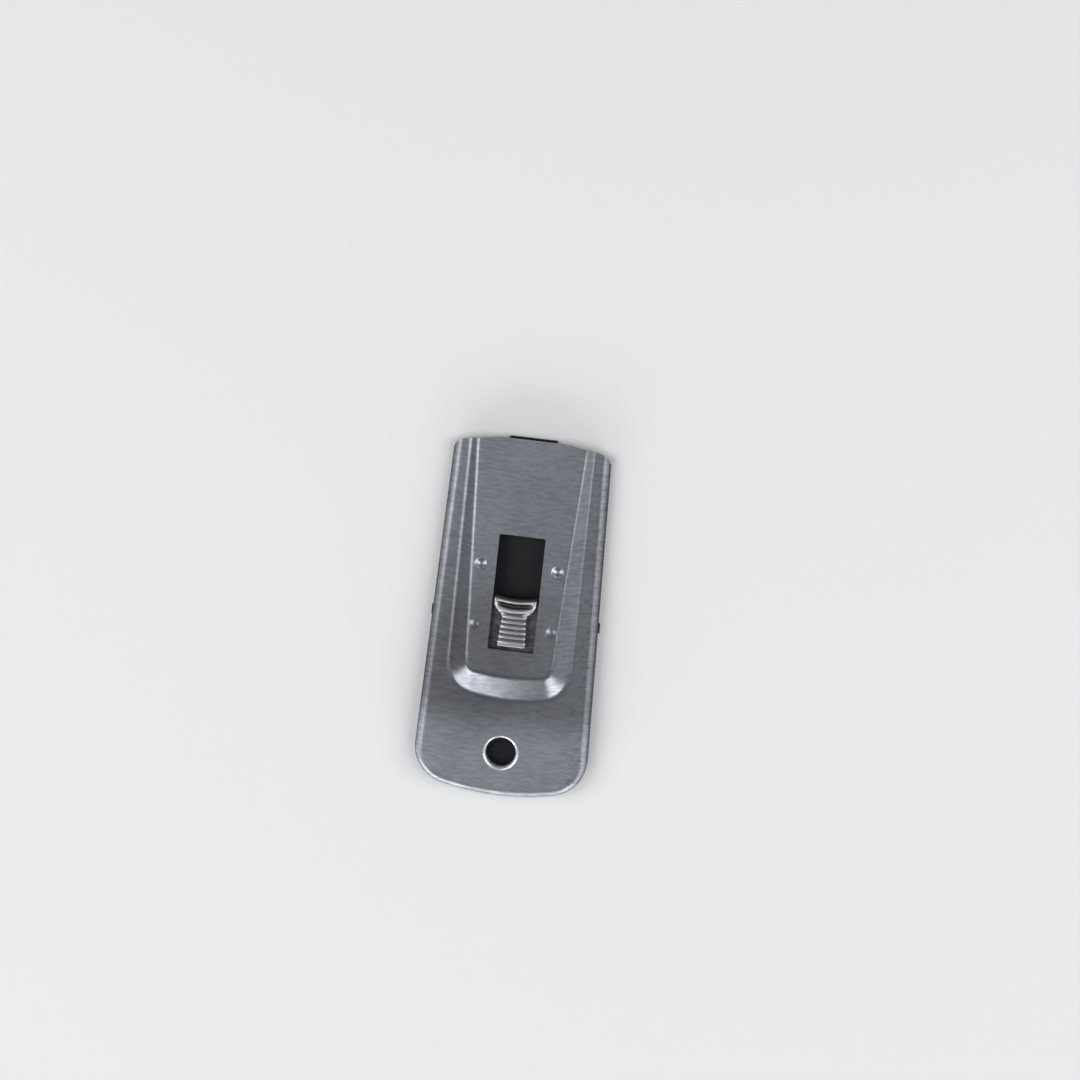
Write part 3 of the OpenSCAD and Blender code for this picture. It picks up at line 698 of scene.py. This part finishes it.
def on_pad(points):
    """Points across, along and above the thumb pad, which lies along the wedge, as places on the flange."""
    p = np.asarray(points, float)
    c, s = math.cos(wedge_pitch), math.sin(wedge_pitch)
    return np.stack([p[:, 0], thumb_at + c * p[:, 1] + s * p[:, 2], pad_rise - s * p[:, 1] + c * p[:, 2]], 1)


# The pad's height at distances back from its front, without the groove and the ribs.
profile = np.array([(0, -0.45), (0.06, -0.15), (0.14, 0.08), (0.26, 0.3), (0.42, 0.46), (0.55, 0.52), (0.8, 0.54),
                    (2.4, 0.58), (2.6, 0.57), (2.85, 0.49), (3.1, 0.3), (3.35, 0.08), (3.65, -0.04), (4.1, -0.05),
                    (12.3, -0.05), (12.6, -0.1), (12.8, -0.2), (12.93, -0.35), (13.0, -0.6)])
back = np.unique(np.concatenate([profile[:, 0], np.arange(0, 4.4, 0.1), np.arange(4.4, 12.3, 0.35)]).round(3))
widths = np.array([thumb_wide, thumb_wide, tongue_wide, tongue_rear_wide, tongue_rear_wide - 0.3])
half = np.interp(back, [0, neck_from, neck_to, tongue_end, thumb_long], widths / 2)
half = np.convolve(np.pad(half, 3, "edge"), np.ones(7) / 7, "valid")
edge_in = np.array([0, 0.04, 0.1, 0.2, 0.33, 0.46])
pad_points, pad_painted_light = [], []
for d, w in zip(back, half):
    across = np.concatenate([-w + edge_in, np.linspace(-(w - rounding), w - rounding, 25), (w - edge_in)[::-1]])
    hollow = np.sqrt(thumb_hollow**2 - across**2) - math.sqrt(thumb_hollow**2 - (thumb_wide / 2) ** 2)
    along = thumb_long / 2 - d - hollow * np.interp(d, [0, 0.6, 2.6, 4.4], [1, 1, 1.8, 0])
    into = np.clip(rounding - (w - np.abs(across)), 0, rounding)
    groove = np.clip(1 - (across / groove_reach) ** 6, 0, 1) * math.exp(-(((d - groove_at) / groove_wide) ** 2))
    shoulder = np.clip((np.abs(across) - w + 1.5) / 0.8, 0, 1) * math.exp(-(((d - shoulder_at) / shoulder_long) ** 2))
    up = np.interp(d, *profile.T) - groove_deep * groove
    up = up + shoulder_tall * shoulder * np.clip((d - 2.6) / 0.9, 0, 1)
    up -= rounding - np.sqrt(np.maximum(rounding**2 - into**2, 0))
    top_row = on_pad(np.column_stack([across, along, up]))
    left, right = top_row[:1].copy(), top_row[-1:].copy()
    left[:, 2] = right[:, 2] = pad_foot
    pad_points.append(np.concatenate([left, top_row, right]))
    # Painted light on the pad: painted highlights on the front rim, the shoulders and the tail, painted shade in the
    # groove and over the tongue.
    worn_and_painted_light = np.interp(d, [3.1, 3.5, 11.9, 12.2], [1, 0.24, 0.24, 0.85]) * np.clip(1.5 - 2.4 * groove, 0.13, 1)
    worn_and_painted_light = np.maximum(worn_and_painted_light, np.clip(2.2 * shoulder, 0, 1))
    pad_painted_light.append([0.6, *worn_and_painted_light, 0.6])
pad_points = np.array(pad_points)
front_wall, rear_wall = pad_points[0].copy(), pad_points[-1].copy()
front_wall[:, 2] = rear_wall[:, 2] = pad_foot
pad_points = np.concatenate([front_wall[None], pad_points, rear_wall[None]])
pad_painted_light = np.concatenate([pad_painted_light[:1], pad_painted_light, pad_painted_light[-1:]])
tiers, wide = pad_points.shape[:2]
pad_faces = [(i * wide + j, (i + 1) * wide + j, (i + 1) * wide + j + 1, i * wide + j + 1)
             for i in range(tiers - 1) for j in range(wide - 1)]
around = [i * wide for i in range(tiers)] + [(tiers - 1) * wide + j for j in range(1, wide)]
around += [i * wide + wide - 1 for i in range(tiers - 2, -1, -1)] + [j for j in range(wide - 2, 0, -1)]
pad_mesh = bpy.data.meshes.new("thumb_pad")
pad_mesh.from_pydata(on_flange(pad_points.reshape(-1, 3)), [], pad_faces + [tuple(around[::-1])])
pad_mesh.attributes.new("pad_painted_light", "FLOAT", "POINT").data.foreach_set("value", pad_painted_light.ravel())
# The walls' corner points lie on each other and become one.
pad_form = bmesh.new()
pad_form.from_mesh(pad_mesh)
bmesh.ops.remove_doubles(pad_form, verts=pad_form.verts, dist=0.001 * mm)
pad_form.to_mesh(pad_mesh)
pad_form.free()
pad_mesh.shade_smooth()
pad_mesh.set_sharp_from_angle(angle=math.radians(50))
pad_steel = steel("pad_steel", (0.56, 0.56, 0.59), (0.72, 0.72, 0.75), 0.4, 0.03)
tree = pad_steel.node_tree
look = tree.nodes["Principled BSDF"]
# The pad's colour is scaled by its painted highlights and painted shade.
rubbed_and_painted_light = tree.nodes.new("ShaderNodeAttribute")
rubbed_and_painted_light.attribute_name = "pad_painted_light"
tree.links.new(dimmed(tree, look.inputs["Base Color"].links[0].from_socket, rubbed_and_painted_light.outputs["Fac"]),
               look.inputs["Base Color"])
pad_mesh.materials.append(pad_steel)
thumb_pad = put("thumb_pad", pad_mesh)
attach(thumb_pad, "thumb")
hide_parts("thumb_slide")

# The ribs of the thumb slide
# Round-backed ribs raised across the tongue in the same pressing, evenly spaced and wider to the rear.
rib_count, rib_wide, rib_widening, rib_r, rib_low, ribs_from, ribs_to = 6, 6.5, 0.03, 0.52, -0.25, 5.05, 11.7
rib_tree, rib_sockets, sizes = new_tree("tongue_ribs", {
    "Ribs": "Int", "First Rib": "Vector", "Spacing": "Vector", "Width": "Float", "Widening": "Float",
    "Radius": "Float", "Finish": "Material"})
add, link = rib_tree.nodes.new, rib_tree.links.new
spread = add("GeometryNodeMeshLine")
link(sizes.outputs["Ribs"], spread.inputs["Count"])
link(sizes.outputs["First Rib"], spread.inputs["Start Location"])
link(sizes.outputs["Spacing"], spread.inputs["Offset"])
half_width = worked(rib_tree, "MULTIPLY", sizes.outputs["Width"], 0.5)
right_end, left_end = add("ShaderNodeCombineXYZ"), add("ShaderNodeCombineXYZ")
link(half_width, right_end.inputs["X"])
link(worked(rib_tree, "MULTIPLY", half_width, -1), left_end.inputs["X"])
spine = add("GeometryNodeCurvePrimitiveLine")
link(left_end.outputs[0], spine.inputs["Start"])
link(right_end.outputs[0], spine.inputs["End"])
stations = add("GeometryNodeResampleCurve")
stations.inputs["Count"].default_value = 25
link(spine.outputs["Curve"], stations.inputs["Curve"])
# A rib keeps its thickness over most of its width and rounds off at both ends.
along_rib = add("GeometryNodeSplineParameter")
centred = worked(rib_tree, "MULTIPLY_ADD", along_rib.outputs["Factor"], 2, -1)
swell = worked(rib_tree, "SQRT", worked(rib_tree, "SUBTRACT", 1.02, worked(rib_tree, "POWER", centred, 4)))
round_back = add("GeometryNodeCurvePrimitiveCircle")
round_back.inputs["Resolution"].default_value = 20
link(sizes.outputs["Radius"], round_back.inputs["Radius"])
bar = add("GeometryNodeCurveToMesh")
bar.inputs["Fill Caps"].default_value = True
link(stations.outputs["Curve"], bar.inputs["Curve"])
link(round_back.outputs["Curve"], bar.inputs["Profile Curve"])
link(swell, bar.inputs["Scale"])
which = add("GeometryNodeInputIndex")
stretch = add("ShaderNodeCombineXYZ")
stretch.inputs["Y"].default_value = 1
stretch.inputs["Z"].default_value = 1
link(worked(rib_tree, "MULTIPLY_ADD", which.outputs["Index"], sizes.outputs["Widening"], 1), stretch.inputs["X"])
laid = add("GeometryNodeInstanceOnPoints")
link(stretch.outputs["Vector"], laid.inputs["Scale"])
link(spread.outputs["Mesh"], laid.inputs["Points"])
link(bar.outputs["Mesh"], laid.inputs["Instance"])
dress_instances(rib_tree, laid.outputs["Instances"], sizes.outputs["Finish"])

thumb_steel = steel("thumb_steel", (0.41, 0.415, 0.435), (0.555, 0.56, 0.585), 0.38, 0.04)
rib_ends = on_flange(on_pad([(0, thumb_long / 2 - ribs_from, rib_low), (0, thumb_long / 2 - ribs_to, rib_low)]))
thumb_ribs = make_piece("thumb_ribs", rib_tree, rib_sockets, {
    "Ribs": rib_count, "First Rib": tuple(rib_ends[0]), "Spacing": tuple((rib_ends[1] - rib_ends[0]) / (rib_count - 1)),
    "Width": rib_wide * mm, "Widening": rib_widening, "Radius": rib_r * mm, "Finish": thumb_steel})
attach(thumb_ribs, "thumb")

# The wings of the thumb slide
# Matt spring sheet under the wedge that carries the pad, coloured dark as painted shade, with tabs folded down into
# the carrier and a round detent bump pressed up in each wing.
wing_wide, wing_rear, wing_ahead, wing_corner, wing_ease = 24.0, -56.5, -42.1, 1.5, 0.12
tab_x, tab_thick, tab_rear, tab_ahead, tab_low = 9.9, 0.6, -51.4, -43.8, -0.45
bump_x, bump_at, bump_r, bump_tall = 9.9, -49.2, 1.25, 0.25
bump_profile = ((1, -0.1), (1, 0), (0.85, 0.07), (0.65, 0.145), (0.4, 0.21), (0.15, bump_tall))
wing_form = bmesh.new()


def add_rings(rings):
    """Adds a closed body made of rings of points, one over the other, with flat ends."""
    rings = [[wing_form.verts.new(p) for p in ring] for ring in rings]
    for lower, upper in zip(rings, rings[1:]):
        for i in range(len(lower)):
            j = (i + 1) % len(lower)
            wing_form.faces.new((lower[i], lower[j], upper[j], upper[i]))
    wing_form.faces.new(rings[0][::-1])
    wing_form.faces.new(rings[-1])


def add_slab(half_wide, rear, ahead, low, high, place):
    """Adds a piece of sheet with rounded corners and eased edges, put in place point by point."""
    add_rings([[place(u, v, up) for u, v in rounded_box(
        half_wide - inset, rear + inset, ahead - inset, wing_corner - inset)]
        for inset, up in ((wing_ease, low), (0, low + wing_ease), (0, high - wing_ease), (wing_ease, high))])


add_slab(wing_wide / 2, wing_rear, wing_ahead, wing_low, wing_top, lambda u, v, up: (u, v, up))
tab_mid, half_tab = (tab_rear + tab_ahead) / 2, (tab_ahead - tab_rear) / 2
for side in (-1, 1):
    add_slab(half_tab, tab_low, wing_top - 0.05, side * tab_x - tab_thick / 2, side * tab_x + tab_thick / 2,
             lambda u, v, across: (across, tab_mid + u, v))
    add_rings([[(side * bump_x + bump_r * r * math.cos(a), bump_at + bump_r * r * math.sin(a), wing_top + h)
                for a in turn] for r, h in bump_profile])
for v, place in zip(wing_form.verts, on_flange([v.co for v in wing_form.verts])):
    v.co = place
bmesh.ops.recalc_face_normals(wing_form, faces=wing_form.faces)
wing_mesh = bpy.data.meshes.new("thumb_wings")
wing_form.to_mesh(wing_mesh)
wing_form.free()
wing_mesh.shade_smooth()
wing_mesh.set_sharp_from_angle(angle=math.radians(35))
# The wings' dark colour is painted shade.
wing_mesh.materials.append(steel("wing_painted_shade_steel", (0.08, 0.08, 0.09), (0.19, 0.19, 0.207), 0.5, 0.3))
thumb_wings = put("thumb_wings", wing_mesh)
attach(thumb_wings, "thumb")
